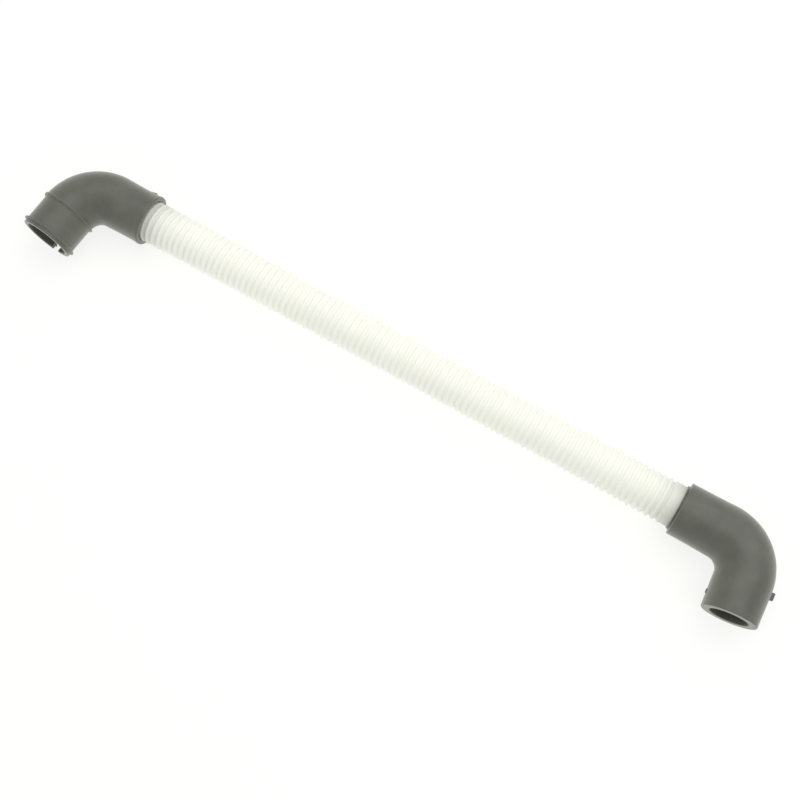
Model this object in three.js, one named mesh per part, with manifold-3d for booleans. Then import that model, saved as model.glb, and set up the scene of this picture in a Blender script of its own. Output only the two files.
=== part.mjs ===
// Appliance hose: a straight corrugated plastic tube with a moulded rubber elbow pushed over each end.
// Millimetres, +Z up. The hose runs along +X, both elbows lie flat and turn towards -Y, and the part
// rests on the plane z = 0 with the middle of its outline above the origin.

import * as THREE from 'three';
import { mergeVertices } from 'three/addons/utils/BufferGeometryUtils.js';
import Module from 'manifold-3d';

const wasm = await Module();
wasm.setup();

// Corrugated hose
const cuffDiameter = 23.2;
const ribDiameter = 24;
const grooveDiameter = 21.2;
const hoseWall = 0.9;
const ribPitch = 3.633;
const ribCount = 88;
const shortBareCuff = 0.5;
const longBareCuff = 5.4;

// Push fit of a hose end in an elbow
const socketDepth = 18;
const fitClearance = 0.3;

// Ribbed elbow, at the low X end
const ribbedElbow = {
  entryLength: 22.8,
  bendRadius: 20.8,
  turnAngle: THREE.MathUtils.degToRad(84),
  exitLength: 19.3,
  entryDiameter: 29.6,
  flareLength: 3.6,
  waistDiameter: 28.7,
  waistLength: 9,
  bendDiameter: 30.2,
  ridgeFootDiameter: 30.9,
  spigotDiameter: 30.2,
  ridgeHeight: 1.25,
  ridgeWidth: 1.2,
  innerRidgeFromMouth: 19.5,
  outerRidgeFromMouth: 2.6,
  boreDiameter: 21,
  mouthBoreDiameter: 25,
  mouthBoreDepth: 17,
  boreTaperLength: 4,
  edgeChamfer: 0.5,
  notchWidth: 5,
  notchDepth: 5,
  notchAngle: THREE.MathUtils.degToRad(-98),
  wedgeFromEnd: 5.9,
  wedgeLength: 5,
  wedgeHeight: 0.9,
  wedgeWidth: 3,
};

// Plain elbow, at the high X end
const plainElbow = {
  entryLength: 26.4,
  bendRadius: 20.2,
  turnAngle: THREE.MathUtils.degToRad(85),
  exitLength: 19.5,
  neckLength: 1.4,
  neckDiameter: 25,
  entryDiameter: 29.4,
  waistDiameter: 29.6,
  waistPosition: 17,
  bendDiameter: 31.2,
  legDiameter: 30.6,
  mouthDiameter: 30,
  boreDiameter: 20.7,
  edgeChamfer: 0.5,
  lugFromMouth: 18.8,
  lugLength: 4,
  lugHeight: 3,
  lugReach: 2.1,
  nibFromMouth: 7.8,
  nibDiameter: 2.4,
  nibReach: 0.6,
};

// Facets round each section, and steps round each bend
const hoseSides = 16;
const elbowSides = 24;
const bendSteps = 8;

const hoseMaterial = new THREE.MeshStandardMaterial({ color: 0xe6e9e2, roughness: 0.45, metalness: 0 });
const rubberMaterial = new THREE.MeshStandardMaterial({ color: 0x6c6e68, roughness: 0.6, metalness: 0 });

const up = new THREE.Vector3(0, 0, 1);

// Radius of the corners of a section whose flats lie at the given radius.
function cornerRadius(flatRadius, sides) {
  return flatRadius / Math.cos(Math.PI / sides);
}

// Closed skin through a loop of rings. The rings run along the outside and come back along the inside,
// and each one is { centre, direction, radius } with the direction that the outside runs in.
function skinThroughRings(rings, sides) {
  const positions = [];
  const indices = [];
  for (const { centre, direction, radius } of rings) {
    const across = new THREE.Vector3().crossVectors(up, direction).normalize();
    for (let side = 0; side < sides; side += 1) {
      const angle = (2 * Math.PI * side) / sides;
      const point = centre.clone();
      point.addScaledVector(across, radius * Math.cos(angle));
      point.addScaledVector(up, radius * Math.sin(angle));
      positions.push(point.x, point.y, point.z);
    }
  }
  for (let ring = 0; ring < rings.length; ring += 1) {
    const here = ring * sides;
    const ahead = ((ring + 1) % rings.length) * sides;
    for (let side = 0; side < sides; side += 1) {
      const next = (side + 1) % sides;
      indices.push(here + side, here + next, ahead + next);
      indices.push(here + side, ahead + next, ahead + side);
    }
  }
  const geometry = new THREE.BufferGeometry();
  geometry.setAttribute('position', new THREE.Float32BufferAttribute(positions, 3));
  geometry.setIndex(indices);
  return geometry;
}

// Centreline of an elbow: straight from its hose end, round one bend towards -Y, straight to its mouth.
// heading is +1 where it leaves the hose towards +X and -1 where it leaves it towards -X.
function elbowPath(elbow, startX, heading) {
  const { entryLength, bendRadius, turnAngle, exitLength } = elbow;
  const bendEnd = entryLength + bendRadius * turnAngle;

  function frameAt(distance) {
    const turned = THREE.MathUtils.clamp((distance - entryLength) / bendRadius, 0, turnAngle);
    const straight = Math.min(distance, entryLength);
    const beyond = Math.max(distance - bendEnd, 0);
    const direction = new THREE.Vector3(heading * Math.cos(turned), -Math.sin(turned), 0);
    const centre = new THREE.Vector3(
      startX + heading * (straight + bendRadius * Math.sin(turned)),
      -bendRadius * (1 - Math.cos(turned)),
      0,
    );
    centre.addScaledVector(direction, beyond);
    return { centre, direction };
  }

  return { bendStart: entryLength, bendEnd, length: bendEnd + exitLength, frameAt };
}

// Rings along an elbow's centreline for one wall. The profile is a list of [distance, radius] corners,
// and the bend gets extra rings so that it turns smoothly.
function ringsAlong(path, profile) {
  const stepLength = (path.bendEnd - path.bendStart) / bendSteps;
  const rings = [];
  const addRing = (distance, radius) => rings.push({ ...path.frameAt(distance), radius });
  profile.forEach(([distance, radius], corner) => {
    addRing(distance, radius);
    if (corner === profile.length - 1) {
      return;
    }
    const [nextDistance, nextRadius] = profile[corner + 1];
    for (let step = 0; step <= bendSteps; step += 1) {
      const between = path.bendStart + step * stepLength;
      const clearOfCorners = Math.min(between - distance, nextDistance - between) > stepLength / 4;
      if (clearOfCorners) {
        const share = (between - distance) / (nextDistance - distance);
        addRing(between, THREE.MathUtils.lerp(radius, nextRadius, share));
      }
    }
  });
  return rings;
}

function elbowSkin(path, outerProfile, boreProfile) {
  const outerRings = ringsAlong(path, outerProfile);
  const boreRings = ringsAlong(path, boreProfile).reverse();
  return skinThroughRings([...outerRings, ...boreRings], elbowSides);
}

// The socket that takes the hose end, then the shoulder that the hose stops at.
function socketProfile(boreRadius) {
  const socketRadius = cornerRadius(cuffDiameter / 2 + fitClearance, elbowSides);
  return [
    [0, socketRadius],
    [socketDepth, socketRadius],
    [socketDepth, boreRadius],
  ];
}

function solidFrom(geometry) {
  const plain = geometry.clone();
  plain.deleteAttribute('normal');
  plain.deleteAttribute('uv');
  const merged = mergeVertices(plain);
  const mesh = new wasm.Mesh({
    numProp: 3,
    vertProperties: new Float32Array(merged.attributes.position.array),
    triVerts: new Uint32Array(merged.index.array),
  });
  return new wasm.Manifold(mesh);
}

function geometryFrom(solid) {
  const mesh = solid.getMesh();
  const geometry = new THREE.BufferGeometry();
  geometry.setAttribute('position', new THREE.BufferAttribute(new Float32Array(mesh.vertProperties), 3));
  geometry.setIndex(new THREE.BufferAttribute(new Uint32Array(mesh.triVerts), 1));
  return geometry;
}

// Puts a small feature on an elbow's wall. Its own X points out of the wall and its Y along the elbow,
// and wallAngle turns it round the section, from the side away from the bend's centre upwards.
function placeOnWall(geometry, path, heading, distance, wallAngle, outward) {
  const { centre, direction } = path.frameAt(distance);
  const side = new THREE.Vector3().crossVectors(up, direction).multiplyScalar(heading);
  const out = side.clone().multiplyScalar(Math.cos(wallAngle));
  out.addScaledVector(up, Math.sin(wallAngle));
  const height = new THREE.Vector3().crossVectors(out, direction);
  const place = new THREE.Matrix4().makeBasis(out, direction, height);
  place.setPosition(centre.clone().addScaledVector(out, outward));
  return geometry.applyMatrix4(place);
}

// Thin tube whose outer and inner wall both follow the ribs, with a smooth cuff at each end.
function makeHose(hoseStart, ribStart, ribEnd, hoseEnd) {
  const outer = [[hoseStart, cuffDiameter / 2], [ribStart, cuffDiameter / 2]];
  for (let rib = 0; rib < ribCount; rib += 1) {
    const grooveX = ribStart + (rib + 0.5) * ribPitch;
    outer.push([grooveX, grooveDiameter / 2]);
    if (rib < ribCount - 1) {
      outer.push([grooveX + ribPitch / 2, ribDiameter / 2]);
    }
  }
  outer.push([ribEnd, cuffDiameter / 2], [hoseEnd, cuffDiameter / 2]);
  const direction = new THREE.Vector3(1, 0, 0);
  const ringAt = (x, radius) => ({ centre: new THREE.Vector3(x, 0, 0), direction, radius });
  const outerRings = outer.map(([x, radius]) => ringAt(x, radius));
  const innerRings = outer.map(([x, radius]) => ringAt(x, radius - hoseWall)).reverse();
  return skinThroughRings([...outerRings, ...innerRings], hoseSides);
}

// Elbow with two ridges round its mouth end, a notch in the lip for a keyed spigot, and a low wedge on
// the back of its hose end.
function makeRibbedElbow(startX) {
  const elbow = ribbedElbow;
  const heading = -1;
  const path = elbowPath(elbow, startX, heading);
  const spigotRadius = elbow.spigotDiameter / 2;
  const ridgeRadius = spigotRadius + elbow.ridgeHeight;
  const boreRadius = elbow.boreDiameter / 2;
  const mouthBoreRadius = elbow.mouthBoreDiameter / 2;
  const innerRidge = path.length - elbow.innerRidgeFromMouth;
  const outerRidge = path.length - elbow.outerRidgeFromMouth;
  const boreStep = path.length - elbow.mouthBoreDepth;
  const halfRidge = elbow.ridgeWidth / 2;

  const outerProfile = [
    [0, elbow.entryDiameter / 2 - elbow.edgeChamfer],
    [elbow.edgeChamfer, elbow.entryDiameter / 2],
    [elbow.flareLength, elbow.waistDiameter / 2],
    [elbow.flareLength + elbow.waistLength, elbow.waistDiameter / 2],
    [(path.bendStart + path.bendEnd) / 2, elbow.bendDiameter / 2],
    [innerRidge - halfRidge, elbow.ridgeFootDiameter / 2],
    [innerRidge - halfRidge, ridgeRadius],
    [innerRidge + halfRidge, ridgeRadius],
    [innerRidge + halfRidge, spigotRadius],
    [outerRidge - halfRidge, spigotRadius],
    [outerRidge - halfRidge, ridgeRadius],
    [outerRidge + halfRidge, ridgeRadius],
    [outerRidge + halfRidge, spigotRadius],
    [path.length - elbow.edgeChamfer, spigotRadius],
    [path.length, spigotRadius - elbow.edgeChamfer],
  ];
  const boreProfile = [
    ...socketProfile(boreRadius),
    [boreStep - elbow.boreTaperLength, boreRadius],
    [boreStep, mouthBoreRadius],
    [path.length, mouthBoreRadius],
  ];
  const body = solidFrom(elbowSkin(path, outerProfile, boreProfile));

  const notchReach = elbow.spigotDiameter / 2;
  const notch = new THREE.BoxGeometry(notchReach, 2 * elbow.notchDepth, elbow.notchWidth);
  placeOnWall(notch, path, heading, path.length, elbow.notchAngle, ridgeRadius);

  // The wedge starts inside the wall, so that it joins the wall all round its foot.
  const wedgeRoot = (boreRadius - elbow.waistDiameter / 2) / 2;
  const wedgeShape = new THREE.Shape();
  wedgeShape.moveTo(wedgeRoot, 0);
  wedgeShape.lineTo(elbow.wedgeHeight, 0);
  wedgeShape.lineTo(0, elbow.wedgeLength);
  wedgeShape.lineTo(wedgeRoot, elbow.wedgeLength);
  const wedge = new THREE.ExtrudeGeometry(wedgeShape, { depth: elbow.wedgeWidth, bevelEnabled: false });
  wedge.translate(0, 0, -elbow.wedgeWidth / 2);
  placeOnWall(wedge, path, heading, elbow.wedgeFromEnd, 0, elbow.waistDiameter / 2);
  return geometryFrom(body.subtract(solidFrom(notch)).add(solidFrom(wedge)));
}

// Thicker elbow with a short neck where the hose goes in, a small lug on the outside of its mouth leg
// and a low nib on the inside.
function makePlainElbow(startX) {
  const elbow = plainElbow;
  const heading = 1;
  const path = elbowPath(elbow, startX, heading);
  const mouthRadius = elbow.mouthDiameter / 2;
  const boreRadius = elbow.boreDiameter / 2;
  const bendMiddle = (path.bendStart + path.bendEnd) / 2;

  const outerProfile = [
    [0, elbow.neckDiameter / 2],
    [elbow.neckLength, elbow.neckDiameter / 2],
    [elbow.neckLength, elbow.entryDiameter / 2],
    [elbow.waistPosition, elbow.waistDiameter / 2],
    [bendMiddle, elbow.bendDiameter / 2],
    [path.bendEnd, elbow.legDiameter / 2],
    [path.length - elbow.edgeChamfer, mouthRadius],
    [path.length, mouthRadius - elbow.edgeChamfer],
  ];
  const boreProfile = [...socketProfile(boreRadius), [path.length, boreRadius]];
  const body = solidFrom(elbowSkin(path, outerProfile, boreProfile));

  const wallMiddle = (boreRadius + mouthRadius) / 2;
  const lugSpan = mouthRadius + elbow.lugReach - wallMiddle;
  const lug = new THREE.BoxGeometry(lugSpan, elbow.lugLength, elbow.lugHeight);
  placeOnWall(lug, path, heading, path.length - elbow.lugFromMouth, 0, wallMiddle + lugSpan / 2);

  const nibSpan = mouthRadius + elbow.nibReach - wallMiddle;
  const nib = new THREE.CylinderGeometry(elbow.nibDiameter / 2, elbow.nibDiameter / 2, nibSpan, 8);
  nib.rotateZ(Math.PI / 2);
  placeOnWall(nib, path, heading, path.length - elbow.nibFromMouth, Math.PI, wallMiddle + nibSpan / 2);
  return geometryFrom(body.add(solidFrom(lug)).add(solidFrom(nib)));
}

function namedMesh(name, geometry, material) {
  const flat = geometry.index ? geometry.toNonIndexed() : geometry;
  flat.computeVertexNormals();
  const mesh = new THREE.Mesh(flat, material);
  mesh.name = name;
  return mesh;
}

// Places along X: the ribbed elbow's hose end is at zero.
const ribStart = shortBareCuff;
const ribEnd = ribStart + ribCount * ribPitch;
const plainElbowStart = ribEnd + longBareCuff;
const hoseStart = -socketDepth + fitClearance;
const hoseEnd = plainElbowStart + socketDepth - fitClearance;

const assembly = new THREE.Group();
assembly.add(namedMesh('corrugated_hose', makeHose(hoseStart, ribStart, ribEnd, hoseEnd), hoseMaterial));
assembly.add(namedMesh('ribbed_elbow', makeRibbedElbow(0), rubberMaterial));
assembly.add(namedMesh('plain_elbow', makePlainElbow(plainElbowStart), rubberMaterial));

// Lays the part on z = 0 with the middle of its outline above the origin.
const outline = new THREE.Box3().setFromObject(assembly);
const middle = outline.getCenter(new THREE.Vector3());
assembly.position.set(-middle.x, -middle.y, -outline.min.z);

const group = new THREE.Group();
group.add(assembly);

export default group;
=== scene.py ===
import math

import bmesh
import bpy
from mathutils import Matrix, Vector


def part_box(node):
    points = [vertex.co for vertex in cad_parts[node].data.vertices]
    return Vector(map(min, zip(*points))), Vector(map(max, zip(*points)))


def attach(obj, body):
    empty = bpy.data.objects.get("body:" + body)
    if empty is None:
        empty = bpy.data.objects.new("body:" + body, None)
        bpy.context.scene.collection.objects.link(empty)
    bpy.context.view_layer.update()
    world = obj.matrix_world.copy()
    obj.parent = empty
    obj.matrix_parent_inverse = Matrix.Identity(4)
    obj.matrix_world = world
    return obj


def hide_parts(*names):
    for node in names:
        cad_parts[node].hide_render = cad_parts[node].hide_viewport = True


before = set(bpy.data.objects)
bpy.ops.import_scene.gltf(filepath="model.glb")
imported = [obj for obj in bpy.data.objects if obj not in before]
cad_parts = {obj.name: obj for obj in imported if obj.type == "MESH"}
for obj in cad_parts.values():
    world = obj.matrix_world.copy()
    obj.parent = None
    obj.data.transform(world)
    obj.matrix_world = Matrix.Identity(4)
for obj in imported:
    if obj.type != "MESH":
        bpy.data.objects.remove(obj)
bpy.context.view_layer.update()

mm = 0.001
up = Vector((0, 0, 1))

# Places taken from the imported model: the hose's axis and the two elbow ends that it goes into.
hoseLow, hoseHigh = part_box("corrugated_hose")
hoseLength = hoseHigh.x - hoseLow.x
axisY = (hoseLow.y + hoseHigh.y) / 2
axisZ = (hoseLow.z + hoseHigh.z) / 2
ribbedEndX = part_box("ribbed_elbow")[1].x
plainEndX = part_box("plain_elbow")[0].x


# sRGB hex to the linear values that shader sockets take.
def linear(hexColour):
    parts = [int(hexColour[i:i + 2], 16) / 255 for i in (1, 3, 5)]
    return [c / 12.92 if c <= 0.04045 else ((c + 0.055) / 1.055) ** 2.4 for c in parts] + [1]


# One node with its settings and its inputs: each a value, a socket, or a node for its first output.
def addNode(tree, kind, settings=None, inputs=None):
    node = tree.nodes.new(kind)
    for name, value in (settings or {}).items():
        setattr(node, name, value)
    for name, value in (inputs or {}).items():
        if isinstance(value, bpy.types.Node):
            value = value.outputs[0]
        if isinstance(value, bpy.types.NodeSocket):
            tree.links.new(value, node.inputs[name])
        else:
            node.inputs[name].default_value = value
    return node


def addObject(name, data):
    added = bpy.data.objects.new(name, data)
    bpy.context.scene.collection.objects.link(added)
    return added


# Puts a finished mesh in the scene with smooth faces and crisp edges.
def finishPiece(name, mesh, material, sharpAngle):
    mesh.polygons.foreach_set("use_smooth", [True] * len(mesh.polygons))
    mesh.set_sharp_from_angle(angle=sharpAngle)
    mesh.materials.clear()
    mesh.materials.append(material)
    return addObject(name, mesh)


# The plain mesh that an object's modifiers make.
def evaluatedMesh(piece):
    depsgraph = bpy.context.evaluated_depsgraph_get()
    return bpy.data.meshes.new_from_object(piece.evaluated_get(depsgraph), depsgraph=depsgraph)


def faceOutwards(mesh):
    shell = bmesh.new()
    shell.from_mesh(mesh)
    if shell.calc_volume(signed=True) < 0:
        bmesh.ops.reverse_faces(shell, faces=shell.faces)
    shell.to_mesh(mesh)
    shell.free()


# An empty material, with its node tree and the coordinates of the piece that wears it.
def startMaterial(name):
    material = bpy.data.materials.new(name)
    material.use_nodes = True
    tree = material.node_tree
    return material, tree, addNode(tree, "ShaderNodeTexCoord").outputs["Object"]


# Joins a colour to the shader, with a roughness that follows the clouds, a fine grain and constants.
def setShader(tree, values, place, colour, clouds, constants):
    shader = tree.nodes["Principled BSDF"]
    smoothest, roughest = values["roughness"]
    roughness = addNode(tree, "ShaderNodeMapRange", inputs={
        "Value": clouds, "To Min": smoothest, "To Max": roughest})
    grain = addNode(tree, "ShaderNodeTexNoise", inputs={
        "Vector": place, "Scale": 1 / values["grain"], "Detail": values["grainDetail"]})
    bump = addNode(tree, "ShaderNodeBump", inputs={
        "Height": grain, "Strength": values["grainStrength"], "Distance": values["grainHeight"]})
    for name, node in (("Base Color", colour), ("Roughness", roughness), ("Normal", bump)):
        tree.links.new(node.outputs[0], shader.inputs[name])
    for name, value in constants.items():
        shader.inputs[name].default_value = value


# Camera

cameraView = {
    "azimuth": math.radians(35.0),
    "elevation": math.radians(74.2),
    "roll": math.radians(-5.17),
    "distance": 713 * mm,
    "aim": (7.93 * mm, -9.12 * mm, axisZ),
    "lens": 60.2,
    "sensorWidth": 36,
    "farthest": 20.0,
}


def makeCamera(view):
    data = bpy.data.cameras.new("photo_camera")
    data.lens = view["lens"]
    data.sensor_width = view["sensorWidth"]
    data.clip_end = view["farthest"]
    camera = addObject("photo_camera", data)
    turn = (Matrix.Rotation(view["azimuth"], 4, "Z")
            @ Matrix.Rotation(math.pi / 2 - view["elevation"], 4, "X")
            @ Matrix.Rotation(view["roll"], 4, "Z"))
    camera.matrix_world = (Matrix.Translation(view["aim"]) @ turn
                           @ Matrix.Translation((0, 0, view["distance"])))
    bpy.context.scene.camera = camera


makeCamera(cameraView)
print("camera placed")


# Corrugated hose

hoseValues = {
    "cuffRadius": 11.6 * mm,
    "ribRadius": 12.0 * mm,
    "grooveRadius": 10.6 * mm,
    "wall": 0.9 * mm,
    "ribPitch": 3.633 * mm,
    "ribCount": 88,
    "bareCuff": 0.5 * mm,  # smooth stretch that shows beside the ribbed elbow
    "crestWidth": 1.5,  # above 1 the grooves are narrower than the crests
    "unevenness": 0.03 * mm,  # from rib to rib
    "seed": 7,  # of the unevenness
    "rowsPerRib": 8,
    "sides": 48,
    "weld": 0.01 * mm,  # points closer than this become one
    "sharpAngle": math.radians(70),
    "lineSteps": 60,  # along the line that the hose lies on
    # Painted shade: the groove colour is a little darker than the crest colour.
    "crest": "#fcfdf3",
    "groove": "#f8f9ee",
    "cloudSize": 14 * mm,
    "cloudDetail": 3,
    "cloudTone": (0.97, 1.02),
    "roughness": (0.36, 0.5),
    "ior": 1.51,
    "grain": 0.35 * mm,  # coarser than the real one, so that it shows
    "grainDetail": 2,
    "grainStrength": 0.12,
    "grainHeight": 0.05 * mm,
    "lightShare": 0.08,  # how much light enters the milky wall, and how far it spreads there
    "lightDepth": 2 * mm,
    "lightSpread": (1.0, 1.0, 0.9),
    "crestShade": 0.44,  # painted shade beside the dark rubber, where less light comes through the wall
    "grooveShade": 0.58,
    "endReach": 6.5 * mm,
}


def makeHoseMaterial(values):
    # Natural polyethylene, blow moulded: milky, lets some light through, soft sheen. Painted shade makes the
    # grooves a shade darker than the crests, and darkens both ends beside the elbows.
    material, tree, place = startMaterial("natural_polyethylene_blow_moulded")
    centred = addNode(tree, "ShaderNodeMapping", inputs={
        "Vector": place, "Location": (0, -axisY, -axisZ)})
    section = addNode(tree, "ShaderNodeVectorMath", {"operation": "MULTIPLY"}, {0: centred, 1: (0, 1, 1)})
    radius = addNode(tree, "ShaderNodeVectorMath", {"operation": "LENGTH"}, {0: section})
    height = addNode(tree, "ShaderNodeMapRange", inputs={
        "Value": radius.outputs["Value"],
        "From Min": values["grooveRadius"],
        "From Max": values["ribRadius"],
    })
    # Painted shade: the surface's height mixes the darker groove colour with the crest colour.
    # A Mix node's colours are its inputs 6 and 7, and its output 2.
    tone = addNode(tree, "ShaderNodeMix", {"data_type": "RGBA"}, {
        "Factor": height, 6: linear(values["groove"]), 7: linear(values["crest"])})
    clouds = addNode(tree, "ShaderNodeTexNoise", inputs={
        "Vector": place, "Scale": 1 / values["cloudSize"], "Detail": values["cloudDetail"]})
    cloudTone = addNode(tree, "ShaderNodeMapRange", inputs={
        "Value": clouds, "To Min": values["cloudTone"][0], "To Max": values["cloudTone"][1]})

    # Painted shade: the colour darkens towards both elbows, the grooves more than the crests. Each row names
    # a number, its operation and the names or values that it takes.
    known = {
        "height": height,
        "cloudTone": cloudTone,
        "along": addNode(tree, "ShaderNodeSeparateXYZ", inputs={0: place}).outputs["X"],
    }
    for name, operation, *terms in (
        ("fromRibbedElbow", "SUBTRACT", "along", ribbedEndX),
        ("fromPlainElbow", "SUBTRACT", plainEndX, "along"),
        ("nearest", "MINIMUM", "fromRibbedElbow", "fromPlainElbow"),
        ("reaches", "DIVIDE", "nearest", -values["endReach"]),
        ("fade", "EXPONENT", "reaches"),
        ("nearness", "MINIMUM", "fade", 1),
        ("shade", "MULTIPLY_ADD", "height", values["crestShade"] - values["grooveShade"],
         values["grooveShade"]),
        ("endShade", "MULTIPLY", "nearness", "shade"),
        ("endTone", "SUBTRACT", 1, "endShade"),
        ("brightness", "MULTIPLY", "cloudTone", "endTone"),
    ):
        known[name] = addNode(tree, "ShaderNodeMath", {"operation": operation}, {
            index: known.get(term, term) for index, term in enumerate(terms)})
    colour = addNode(tree, "ShaderNodeVectorMath", {"operation": "SCALE"}, {
        0: tone.outputs[2], "Scale": known["brightness"]})
    setShader(tree, values, place, colour, clouds, {
        "IOR": values["ior"],
        "Subsurface Weight": values["lightShare"],
        "Subsurface Radius": values["lightSpread"],
        "Subsurface Scale": values["lightDepth"],
    })
    return material


# Geometry nodes for a thin tube: a grid rolled into an outer wall, then back as the inner wall.
def makeRibTree(weld):
    tree = bpy.data.node_groups.new("ribbedTube", "GeometryNodeTree")
    tree.interface.new_socket("geometry", in_out="OUTPUT", socket_type="NodeSocketGeometry")
    for kind, names in (
        ("Float", ("length", "ribStart", "ribPitch", "cuffRadius", "ribRadius", "grooveRadius",
                   "wall", "crestWidth", "unevenness")),
        ("Int", ("ribCount", "rows", "sides", "seed")),
        ("Material", ("material",)),
    ):
        for name in names:
            tree.interface.new_socket(name, in_out="INPUT", socket_type="NodeSocket" + kind)

    known = {socket.name: socket for socket in addNode(tree, "NodeGroupInput").outputs}
    flat = addNode(tree, "ShaderNodeSeparateXYZ", inputs={0: addNode(tree, "GeometryNodeInputPosition")})
    # A random value's lowest and highest are its inputs 2 and 3, and it is its output 1.
    stray = addNode(tree, "FunctionNodeRandomValue", {"data_type": "FLOAT"}, {
        2: -1.0, 3: 1.0, "Seed": known["seed"]})
    known.update(flatX=flat.outputs["X"], flatY=flat.outputs["Y"], stray=stray.outputs[1])

    # Each row names a number, its operation and the names or values that it takes.
    for name, operation, *terms in (
        # Rows run out along the outside and back along the inside, and the last closes on the first.
        ("allRows", "MULTIPLY", "rows", 2),
        ("gridRows", "ADD", "allRows", 1),
        ("gridSides", "ADD", "sides", 1),
        ("around", "MULTIPLY_ADD", "flatY", math.tau, math.pi),
        ("flatShare", "ADD", "flatX", 0.5),
        ("flatRow", "MULTIPLY", "flatShare", "allRows"),
        ("row", "ROUND", "flatRow"),
        ("loopRow", "FLOORED_MODULO", "row", "allRows"),
        ("outerRows", "SUBTRACT", "rows", 0.5),
        ("inside", "GREATER_THAN", "loopRow", "outerRows"),
        ("lastRow", "SUBTRACT", "allRows", 1),
        ("backRow", "SUBTRACT", "lastRow", "loopRow"),
        ("backStep", "SUBTRACT", "backRow", "loopRow"),
        ("wallRow", "MULTIPLY_ADD", "inside", "backStep", "loopRow"),
        ("rowGaps", "SUBTRACT", "rows", 1),
        ("share", "DIVIDE", "wallRow", "rowGaps"),
        ("along", "MULTIPLY", "length", "share"),
        # One smooth wave for each rib, between the two cuffs.
        ("fromStart", "SUBTRACT", "along", "ribStart"),
        ("phase", "DIVIDE", "fromStart", "ribPitch"),
        ("afterStart", "GREATER_THAN", "phase", 0),
        ("beforeEnd", "LESS_THAN", "phase", "ribCount"),
        ("ribbed", "MULTIPLY", "afterStart", "beforeEnd"),
        ("turned", "MULTIPLY", "phase", math.tau),
        ("swing", "COSINE", "turned"),
        ("wave", "MULTIPLY_ADD", "swing", -0.5, 0.5),
        ("narrowed", "POWER", "wave", "crestWidth"),
        ("groove", "MULTIPLY", "narrowed", "ribbed"),
        # The grooves' depth differs a little from rib to rib.
        ("rib", "FLOOR", "phase"),
        ("depth", "SUBTRACT", "ribRadius", "grooveRadius"),
        ("ownDepth", "MULTIPLY_ADD", "stray", "unevenness", "depth"),
        ("dip", "MULTIPLY", "groove", "ownDepth"),
        ("ribSurface", "SUBTRACT", "ribRadius", "dip"),
        # The smooth cuffs and the inner wall.
        ("smooth", "SUBTRACT", 1, "ribbed"),
        ("cuffStep", "SUBTRACT", "cuffRadius", "ribRadius"),
        ("outerRadius", "MULTIPLY_ADD", "smooth", "cuffStep", "ribSurface"),
        ("inset", "MULTIPLY", "inside", "wall"),
        ("radius", "SUBTRACT", "outerRadius", "inset"),
        ("cosine", "COSINE", "around"),
        ("sine", "SINE", "around"),
        ("y", "MULTIPLY", "radius", "cosine"),
        ("z", "MULTIPLY", "radius", "sine"),
    ):
        known[name] = addNode(tree, "ShaderNodeMath", {"operation": operation}, {
            index: known.get(term, term) for index, term in enumerate(terms)})
    tree.links.new(known["rib"].outputs[0], stray.inputs["ID"])

    grid = addNode(tree, "GeometryNodeMeshGrid", inputs={
        "Size X": 1, "Size Y": 1, "Vertices X": known["gridRows"], "Vertices Y": known["gridSides"]})
    rolled = addNode(tree, "ShaderNodeCombineXYZ", inputs={
        "X": known["along"], "Y": known["y"], "Z": known["z"]})
    placed = addNode(tree, "GeometryNodeSetPosition", inputs={"Geometry": grid, "Position": rolled})
    closed = addNode(tree, "GeometryNodeMergeByDistance", inputs={"Geometry": placed, "Distance": weld})
    real = addNode(tree, "GeometryNodeRealizeInstances", inputs={"Geometry": closed})
    coated = addNode(tree, "GeometryNodeSetMaterial", inputs={
        "Geometry": real, "Material": known["material"]})
    addNode(tree, "NodeGroupOutput", inputs={"geometry": coated})
    return tree


def makeHose(values, material):
    host = addObject("hose_host", bpy.data.meshes.new("hose_host"))
    modifier = host.modifiers.new("ribs", "NODES")
    modifier.node_group = makeRibTree(values["weld"])
    given = {
        **values,
        "length": hoseLength,
        "ribStart": ribbedEndX + values["bareCuff"] - hoseLow.x,
        "rows": round(hoseLength / values["ribPitch"] * values["rowsPerRib"]) + 1,
        "material": material,
    }
    for socket in modifier.node_group.interface.items_tree:
        if socket.in_out == "INPUT":
            modifier[socket.identifier] = given[socket.name]
    mesh = evaluatedMesh(host)
    bpy.data.objects.remove(host)
    mesh.transform(Matrix.Translation((hoseLow.x, axisY, axisZ)))
    faceOutwards(mesh)
    return finishPiece("hose_wall", mesh, material, values["sharpAngle"])


hose = makeHose(hoseValues, makeHoseMaterial(hoseValues))
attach(hose, "root")
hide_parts("corrugated_hose")
print("hose made,", len(hose.data.polygons), "faces")


# Both elbows

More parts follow.
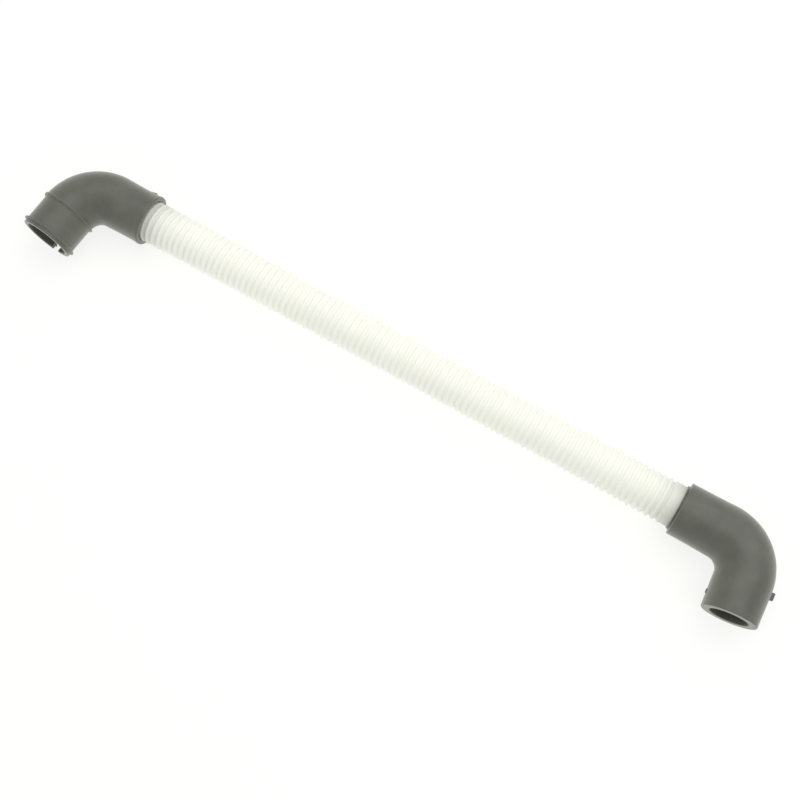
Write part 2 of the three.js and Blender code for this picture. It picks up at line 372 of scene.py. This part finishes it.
elbowValues = {
    "socketRadius": 11.9 * mm,
    "socketDepth": 18 * mm,
    "leadDepth": 0.4 * mm,  # the socket opens a little at its edge
    "leadWidth": 0.25 * mm,
    "leadFillet": 0.2 * mm,
    "seatFillet": 0.3 * mm,
    "stepFillet": 0.4 * mm,
    "lipFlat": 1 * mm,
    "lipChamfer": 0.25 * mm,
    "lipFillet": 0.2 * mm,
    "sides": 96,
    "ringSpacing": 0.9 * mm,
    "shortestStep": 0.0001 * mm,
    "filletSteps": 5,
    "blockSteps": 3,
    "sharpAngle": math.radians(38),
    "base": "#505249",
    "bloom": "#5c5e54",
    "bloomSize": 11 * mm,
    "bloomDetail": 4,
    "bloomRoughness": 0.55,
    "bloomRange": (0.35, 0.7),  # of the noise, from no bloom to full bloom
    "bloomSheen": 0.5,
    "sheenRoughness": 0.5,
    "sheenTint": "#fffef3",
    "speckSize": 0.7 * mm,  # coarser than the real ones, so that they show
    "speckDetail": 2,
    "speckTone": (0.93, 1.07),
    "roughness": (0.28, 0.46),
    "ior": 1.45,
    "grain": 0.3 * mm,  # coarser than the real one, so that it shows
    "grainDetail": 3,
    "grainStrength": 0.25,
    "grainHeight": 0.05 * mm,
}


def makeRubber(values):
    # EPDM rubber, compression moulded: satin grey, faint cloudy bloom, very fine matt grain.
    material, tree, place = startMaterial("epdm_rubber_compression_moulded")
    clouds = addNode(tree, "ShaderNodeTexNoise", inputs={
        "Vector": place,
        "Scale": 1 / values["bloomSize"],
        "Detail": values["bloomDetail"],
        "Roughness": values["bloomRoughness"],
    })
    patches = addNode(tree, "ShaderNodeMapRange", inputs={
        "Value": clouds, "From Min": values["bloomRange"][0], "From Max": values["bloomRange"][1]})
    tone = addNode(tree, "ShaderNodeMix", {"data_type": "RGBA"}, {
        "Factor": patches, 6: linear(values["base"]), 7: linear(values["bloom"])})
    specks = addNode(tree, "ShaderNodeTexNoise", inputs={
        "Vector": place, "Scale": 1 / values["speckSize"], "Detail": values["speckDetail"]})
    speckTone = addNode(tree, "ShaderNodeMapRange", inputs={
        "Value": specks, "To Min": values["speckTone"][0], "To Max": values["speckTone"][1]})
    colour = addNode(tree, "ShaderNodeVectorMath", {"operation": "SCALE"}, {
        0: tone.outputs[2], "Scale": speckTone})
    setShader(tree, values, place, colour, clouds, {
        "IOR": values["ior"],
        "Sheen Weight": values["bloomSheen"],
        "Sheen Roughness": values["sheenRoughness"],
        "Sheen Tint": linear(values["sheenTint"]),
    })
    return material


# Centreline of an elbow: straight from its hose end, one bend towards -Y, straight to its mouth.
class ElbowPath:
    def __init__(self, sizes, endX, heading):
        self.start, self.heading = Vector((endX, axisY, axisZ)), heading
        self.entry, self.bend, self.turn = sizes["entryLength"], sizes["bendRadius"], sizes["turnAngle"]
        self.bendEnd = self.entry + self.bend * self.turn
        self.bendMiddle = (self.entry + self.bendEnd) / 2
        self.length = self.bendEnd + sizes["exitLength"]

    def frameAt(self, distance):
        turned = min(max((distance - self.entry) / self.bend, 0), self.turn)
        direction = Vector((self.heading * math.cos(turned), -math.sin(turned), 0))
        forward = min(distance, self.entry) + self.bend * math.sin(turned)
        centre = self.start + Vector((self.heading * forward, -self.bend * (1 - math.cos(turned)), 0))
        return centre + direction * max(distance - self.bendEnd, 0), direction


# Profile points from (distance, radius, fillet) corners, each corner rounded by its fillet.
def roundCorners(corners):
    points = []
    for index, (distance, radius, fillet) in enumerate(corners):
        here = Vector((distance, radius))
        if fillet == 0:
            points.append(here)
            continue
        before = Vector(corners[index - 1][:2]) - here
        after = Vector(corners[index + 1][:2]) - here
        first = here + before.normalized() * min(fillet, before.length / 2)
        last = here + after.normalized() * min(fillet, after.length / 2)
        for step in range(elbowValues["filletSteps"] + 1):
            share = step / elbowValues["filletSteps"]
            points.append(first.lerp(here, share).lerp(here.lerp(last, share), share))
    return points


# (centre, direction, radius) rings through a rounded profile, close enough to bend smoothly.
def profileRings(path, corners):
    points = roundCorners(corners)
    dense = [points[0]]
    for first, last in zip(points, points[1:]):
        if (last - first).length > elbowValues["shortestStep"]:
            steps = max(1, math.ceil((last.x - first.x) / elbowValues["ringSpacing"]))
            dense += [first.lerp(last, step / steps) for step in range(1, steps + 1)]
    return [(*path.frameAt(point.x), point.y) for point in dense]


# Closed skin: rings out along the outside and back along the bore.
def elbowMesh(name, path, outerCorners, boreCorners):
    rings = profileRings(path, outerCorners) + profileRings(path, boreCorners)[::-1]
    sides = elbowValues["sides"]
    vertices, faces = [], []
    for centre, direction, radius in rings:
        across = up.cross(direction)
        for side in range(sides):
            angle = math.tau * side / sides
            vertices.append(centre + (across * math.cos(angle) + up * math.sin(angle)) * radius)
    for ring in range(len(rings)):
        here, ahead = ring * sides, (ring + 1) % len(rings) * sides
        for side in range(sides):
            following = (side + 1) % sides
            faces.append((here + side, here + following, ahead + following, ahead + side))
    mesh = bpy.data.meshes.new(name)
    mesh.from_pydata(vertices, [], faces)
    return mesh


# Matrix of a small feature on an elbow's wall: X points out of the wall, Y along the elbow.
def wallPlace(path, distance, wallAngle, outward):
    centre, direction = path.frameAt(distance)
    side = up.cross(direction) * path.heading
    out = side * math.cos(wallAngle) + up * math.sin(wallAngle)
    place = Matrix((out, direction, out.cross(direction))).transposed().to_4x4()
    place.translation = centre + out * outward
    return place


# Mesh of a small feature: its edges rounded, with a round profile, then put in its place.
def featureMesh(name, shape, rounding, steps, place):
    bmesh.ops.bevel(shape, geom=shape.edges, offset=rounding, segments=steps, profile=0.5, affect="EDGES")
    mesh = bpy.data.meshes.new(name)
    shape.to_mesh(mesh)
    shape.free()
    mesh.transform(place)
    return mesh


def roundedBlock(name, size, rounding, place):
    block = bmesh.new()
    bmesh.ops.create_cube(block, size=1)
    bmesh.ops.scale(block, vec=size, verts=block.verts)
    return featureMesh(name, block, rounding, elbowValues["blockSteps"], place)


# Joins a tool mesh to a mesh, or cuts it away.
def combine(mesh, tool, operation):
    body, cutter = addObject("body", mesh), addObject("cutter", tool)
    faceOutwards(mesh)
    faceOutwards(tool)
    modifier = body.modifiers.new("combine", "BOOLEAN")
    modifier.operation = operation
    modifier.solver = "EXACT"
    modifier.object = cutter
    result = evaluatedMesh(body)
    bpy.data.objects.remove(body)
    bpy.data.objects.remove(cutter)
    return result


# The bore's corners: the socket, what lies between, and the lip.
def boreCorners(path, boreRadius, mouthRadius, between=()):
    sizes = elbowValues
    radius, depth, chamfer = sizes["socketRadius"], sizes["socketDepth"], sizes["lipChamfer"]
    return [
        (0, radius + sizes["leadWidth"], 0),
        (sizes["leadDepth"], radius, sizes["leadFillet"]),
        (depth, radius, sizes["seatFillet"]),
        (depth, boreRadius, sizes["stepFillet"]),
        *between,
        (path.length - chamfer, mouthRadius, sizes["lipFillet"]),
        (path.length, mouthRadius + chamfer, 0),
    ]


rubber = makeRubber(elbowValues)
print("rubber made")


# Elbow with two ridges round its mouth end, a notch in its lip and a low wedge near its hose end

ribbedValues = {
    "entryLength": 22.8 * mm,
    "bendRadius": 20.8 * mm,
    "turnAngle": math.radians(84),
    "exitLength": 19.3 * mm,
    "entryRadius": 14.8 * mm,
    "entryFlat": 1.8 * mm,
    "entryRounding": 1.2 * mm,
    "flareLength": 3.6 * mm,
    "flareFillet": 2 * mm,
    "waistRadius": 14.35 * mm,
    "waistLength": 9 * mm,
    "waistFillet": 5 * mm,
    "bendSection": 15.1 * mm,
    "bendFillet": 9 * mm,
    "spigotRadius": 15.1 * mm,
    "ridgeFoot": 15.45 * mm,
    "ridgeFootFillet": 0.3 * mm,
    "ridgeHeight": 1.25 * mm,
    "ridgeWidth": 1.2 * mm,
    "ridgeDraft": 0.12 * mm,
    "ridgeFillet": 0.4 * mm,
    "spigotFillet": 0.2 * mm,
    "innerRidge": 19.5 * mm,
    "outerRidge": 2.6 * mm,
    "mouthFillet": 0.35 * mm,
    "boreRadius": 10.5 * mm,
    "boreTaper": 4 * mm,
    "taperFillet": 2 * mm,
    "mouthBoreRadius": 12.5 * mm,
    "mouthBoreDepth": 17 * mm,
    "mouthBoreFillet": 1 * mm,
    "notchWidth": 5 * mm,
    "notchDepth": 5 * mm,
    "notchAngle": math.radians(-98),
    "notchRounding": 0.4 * mm,
    "wedgeFromEnd": 5.9 * mm,
    "wedgeLength": 5 * mm,
    "wedgeHeight": 0.9 * mm,
    "wedgeWidth": 3 * mm,
    "wedgeRounding": 0.12 * mm,
    "wedgeSteps": 2,
}


# A ridge's corners, from its foot on the hose's side.
def ridgeCorners(sizes, middle, footRadius, footFillet):
    half, draft = sizes["ridgeWidth"] / 2, sizes["ridgeDraft"]
    crest = sizes["spigotRadius"] + sizes["ridgeHeight"]
    return [
        (middle - half, footRadius, footFillet),
        (middle - half + draft, crest, sizes["ridgeFillet"]),
        (middle + half - draft, crest, sizes["ridgeFillet"]),
        (middle + half, sizes["spigotRadius"], sizes["spigotFillet"]),
    ]


# Wedge that rises towards the elbow's hose end, rooted in the wall.
def makeWedge(sizes, place):
    root = (sizes["boreRadius"] - sizes["waistRadius"]) / 2
    half = sizes["wedgeWidth"] / 2
    corners = [(root, 0), (sizes["wedgeHeight"], 0), (0, sizes["wedgeLength"]), (root, sizes["wedgeLength"])]
    block = bmesh.new()
    low, high = [[block.verts.new((x, y, z)) for x, y in corners] for z in (-half, half)]
    block.faces.new(low[::-1])
    block.faces.new(high)
    for index in range(len(corners)):
        following = (index + 1) % len(corners)
        block.faces.new((low[index], low[following], high[following], high[index]))
    return featureMesh("wedge", block, sizes["wedgeRounding"], sizes["wedgeSteps"], place)


def makeRibbedElbow(sizes):
    path = ElbowPath(sizes, ribbedEndX, -1)
    spigot, waist, entry = sizes["spigotRadius"], sizes["waistRadius"], sizes["entryRadius"]
    boreStep = path.length - sizes["mouthBoreDepth"]
    outer = [
        (0, entry - sizes["entryFlat"], 0),
        (0, entry, sizes["entryRounding"]),
        (sizes["flareLength"], waist, sizes["flareFillet"]),
        (sizes["flareLength"] + sizes["waistLength"], waist, sizes["waistFillet"]),
        (path.bendMiddle, sizes["bendSection"], sizes["bendFillet"]),
        *ridgeCorners(sizes, path.length - sizes["innerRidge"], sizes["ridgeFoot"],
                      sizes["ridgeFootFillet"]),
        *ridgeCorners(sizes, path.length - sizes["outerRidge"], spigot, sizes["spigotFillet"]),
        (path.length, spigot, sizes["mouthFillet"]),
        (path.length, spigot - elbowValues["lipFlat"], 0),
    ]
    bore = boreCorners(path, sizes["boreRadius"], sizes["mouthBoreRadius"], [
        (boreStep - sizes["boreTaper"], sizes["boreRadius"], sizes["taperFillet"]),
        (boreStep, sizes["mouthBoreRadius"], sizes["mouthBoreFillet"]),
    ])
    mesh = elbowMesh("ribbed_elbow", path, outer, bore)
    notchSize = (spigot, 2 * sizes["notchDepth"], sizes["notchWidth"])
    notchPlace = wallPlace(path, path.length, sizes["notchAngle"], spigot + sizes["ridgeHeight"])
    notch = roundedBlock("notch", notchSize, sizes["notchRounding"], notchPlace)
    mesh = combine(mesh, notch, "DIFFERENCE")
    mesh = combine(mesh, makeWedge(sizes, wallPlace(path, sizes["wedgeFromEnd"], 0, waist)), "UNION")
    return finishPiece("ribbed_elbow_rubber", mesh, rubber, elbowValues["sharpAngle"])


ribbedElbow = makeRibbedElbow(ribbedValues)


# Thicker elbow with a neck at its hose end, and a lug and a low nib on its mouth leg

plainValues = {
    "entryLength": 26.4 * mm,
    "bendRadius": 20.2 * mm,
    "turnAngle": math.radians(85),
    "exitLength": 19.5 * mm,
    "neckLength": 1.4 * mm,
    "neckRadius": 12.5 * mm,
    "neckFlat": 0.3 * mm,
    "neckRounding": 0.2 * mm,
    "entryRadius": 14.7 * mm,
    "entryRounding": 0.15 * mm,
    "waistRadius": 14.8 * mm,
    "waistPosition": 17 * mm,
    "waistFillet": 6 * mm,
    "bendSection": 15.6 * mm,
    "bendFillet": 9 * mm,
    "legRadius": 15.3 * mm,
    "legFillet": 6 * mm,
    "mouthRadius": 15.0 * mm,
    "mouthFillet": 0.45 * mm,
    "boreRadius": 10.35 * mm,
    "lugFromMouth": 18.8 * mm,
    "lugLength": 4 * mm,
    "lugHeight": 3 * mm,
    "lugReach": 2.1 * mm,
    "lugRounding": 0.3 * mm,
    "nibFromMouth": 7.8 * mm,
    "nibWidth": 2.4 * mm,
    "nibReach": 0.6 * mm,
    "nibRounding": 0.4 * mm,
}


def makePlainElbow(sizes):
    path = ElbowPath(sizes, plainEndX, 1)
    mouth, neck, face = sizes["mouthRadius"], sizes["neckRadius"], sizes["neckLength"]
    outer = [
        (0, neck - sizes["neckFlat"], 0),
        (0, neck, sizes["neckRounding"]),
        (face, neck, sizes["entryRounding"]),
        (face, sizes["entryRadius"], sizes["entryRounding"]),
        (sizes["waistPosition"], sizes["waistRadius"], sizes["waistFillet"]),
        (path.bendMiddle, sizes["bendSection"], sizes["bendFillet"]),
        (path.bendEnd, sizes["legRadius"], sizes["legFillet"]),
        (path.length, mouth, sizes["mouthFillet"]),
        (path.length, mouth - elbowValues["lipFlat"], 0),
    ]
    mesh = elbowMesh("plain_elbow", path, outer, boreCorners(path, sizes["boreRadius"], sizes["boreRadius"]))
    # Both features start in the middle of the wall, so that they join it all round.
    wallMiddle = (sizes["boreRadius"] + mouth) / 2
    for name, wallAngle, length, width in (
        ("lug", 0, sizes["lugLength"], sizes["lugHeight"]),
        ("nib", math.pi, sizes["nibWidth"], sizes["nibWidth"]),
    ):
        span = mouth + sizes[name + "Reach"] - wallMiddle
        place = wallPlace(path, path.length - sizes[name + "FromMouth"], wallAngle, wallMiddle + span / 2)
        block = roundedBlock(name, (span, length, width), sizes[name + "Rounding"], place)
        mesh = combine(mesh, block, "UNION")
    return finishPiece("plain_elbow_rubber", mesh, rubber, elbowValues["sharpAngle"])


plainElbow = makePlainElbow(plainValues)
for piece, node in ((ribbedElbow, "ribbed_elbow"), (plainElbow, "plain_elbow")):
    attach(piece, "root")
    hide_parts(node)
    print(piece.name, "made,", len(piece.data.polygons), "faces")


# Floor and light

studio = {
    "floorSize": 6.0,
    "floorTone": "#fcfcf8",
    "floorShown": 0.22,  # share of the floor's own light and shadow that the camera sees
    "floorGlow": 1.04,
    "glowTint": "#fffffd",
    "tableShare": 0.9,  # the object lies on a light table, which evens the light from below
    "tableGlow": 1.56,
    "tableEdgeGlow": 0.4,
    "tableMiddle": (0, -0.07, 0),
    "tableReach": (0.12, 0.28),  # the glow fades between these distances from its middle
    "skyTint": "#ffffff",
    "horizonLight": 0.34,  # the light from the sky, from its edge to overhead
    "zenithLight": 0.84,
    "topPower": 7.3,
    "topSize": 1.5,
    "topPlace": (0.15, 0.45, 1.0),
}


# 1 for the rays that should find the white background.
def whiteRays(tree):
    light = addNode(tree, "ShaderNodeLightPath").outputs
    mirrored = addNode(tree, "ShaderNodeMath", {"operation": "MAXIMUM"}, {
        0: light["Is Glossy Ray"], 1: light["Is Transmission Ray"]})
    return addNode(tree, "ShaderNodeMath", {"operation": "MAXIMUM"}, {
        0: light["Is Camera Ray"], 1: mirrored})


def makeFloor():
    half = studio["floorSize"] / 2
    mesh = bpy.data.meshes.new("studio_floor")
    mesh.from_pydata([(-half, -half, 0), (half, -half, 0), (half, half, 0), (-half, half, 0)], [],
                     [(0, 1, 2, 3)])
    material, tree, place = startMaterial("white_studio_paper")
    tree.nodes.remove(tree.nodes["Principled BSDF"])
    paper = addNode(tree, "ShaderNodeBsdfDiffuse", inputs={"Color": linear(studio["floorTone"])})
    fromMiddle = addNode(tree, "ShaderNodeVectorMath", {"operation": "DISTANCE"}, {
        0: place, 1: studio["tableMiddle"]})
    table = addNode(tree, "ShaderNodeMapRange", {"interpolation_type": "SMOOTHSTEP"}, {
        "Value": fromMiddle.outputs["Value"],
        "From Min": studio["tableReach"][0],
        "From Max": studio["tableReach"][1],
        "To Min": studio["tableGlow"],
        "To Max": studio["tableEdgeGlow"],
    })
    white = whiteRays(tree)
    strength = addNode(tree, "ShaderNodeMapRange", inputs={
        "Value": white, "To Min": table, "To Max": studio["floorGlow"]})
    glow = addNode(tree, "ShaderNodeEmission", inputs={
        "Color": linear(studio["glowTint"]), "Strength": strength})
    share = addNode(tree, "ShaderNodeMapRange", inputs={
        "Value": white, "To Min": studio["tableShare"], "To Max": 1 - studio["floorShown"]})
    mixed = addNode(tree, "ShaderNodeMixShader", inputs={"Fac": share, 1: paper, 2: glow})
    tree.links.new(mixed.outputs[0], tree.nodes["Material Output"].inputs["Surface"])
    mesh.materials.append(material)
    floor = addObject("studio_floor", mesh)


def makeWorld():
    world = bpy.data.worlds.new("studio")
    bpy.context.scene.world = world
    world.use_nodes = True
    tree = world.node_tree
    tree.nodes.clear()
    direction = addNode(tree, "ShaderNodeTexCoord").outputs["Generated"]
    height = addNode(tree, "ShaderNodeSeparateXYZ", inputs={0: direction}).outputs["Z"]
    dome = addNode(tree, "ShaderNodeMapRange", {"interpolation_type": "SMOOTHSTEP"}, {
        "Value": height, "To Min": studio["horizonLight"], "To Max": studio["zenithLight"]})
    strength = addNode(tree, "ShaderNodeMath", {"operation": "MAXIMUM"}, {0: dome, 1: whiteRays(tree)})
    sky = addNode(tree, "ShaderNodeBackground", inputs={
        "Color": linear(studio["skyTint"]), "Strength": strength})
    addNode(tree, "ShaderNodeOutputWorld", inputs={"Surface": sky})


def makeSoftbox():
    data = bpy.data.lights.new("top_softbox", "AREA")
    data.shape = "SQUARE"
    data.size = studio["topSize"]
    data.energy = studio["topPower"]
    lamp = addObject("top_softbox", data)
    lamp.location = studio["topPlace"]
    lamp.rotation_mode = "QUATERNION"
    lamp.rotation_quaternion = (Vector((0, 0, axisZ)) - lamp.location).to_track_quat("-Z", "Y")


makeFloor()
makeWorld()
makeSoftbox()
bpy.context.scene.view_settings.view_transform = "Standard"
print("floor and lights made")
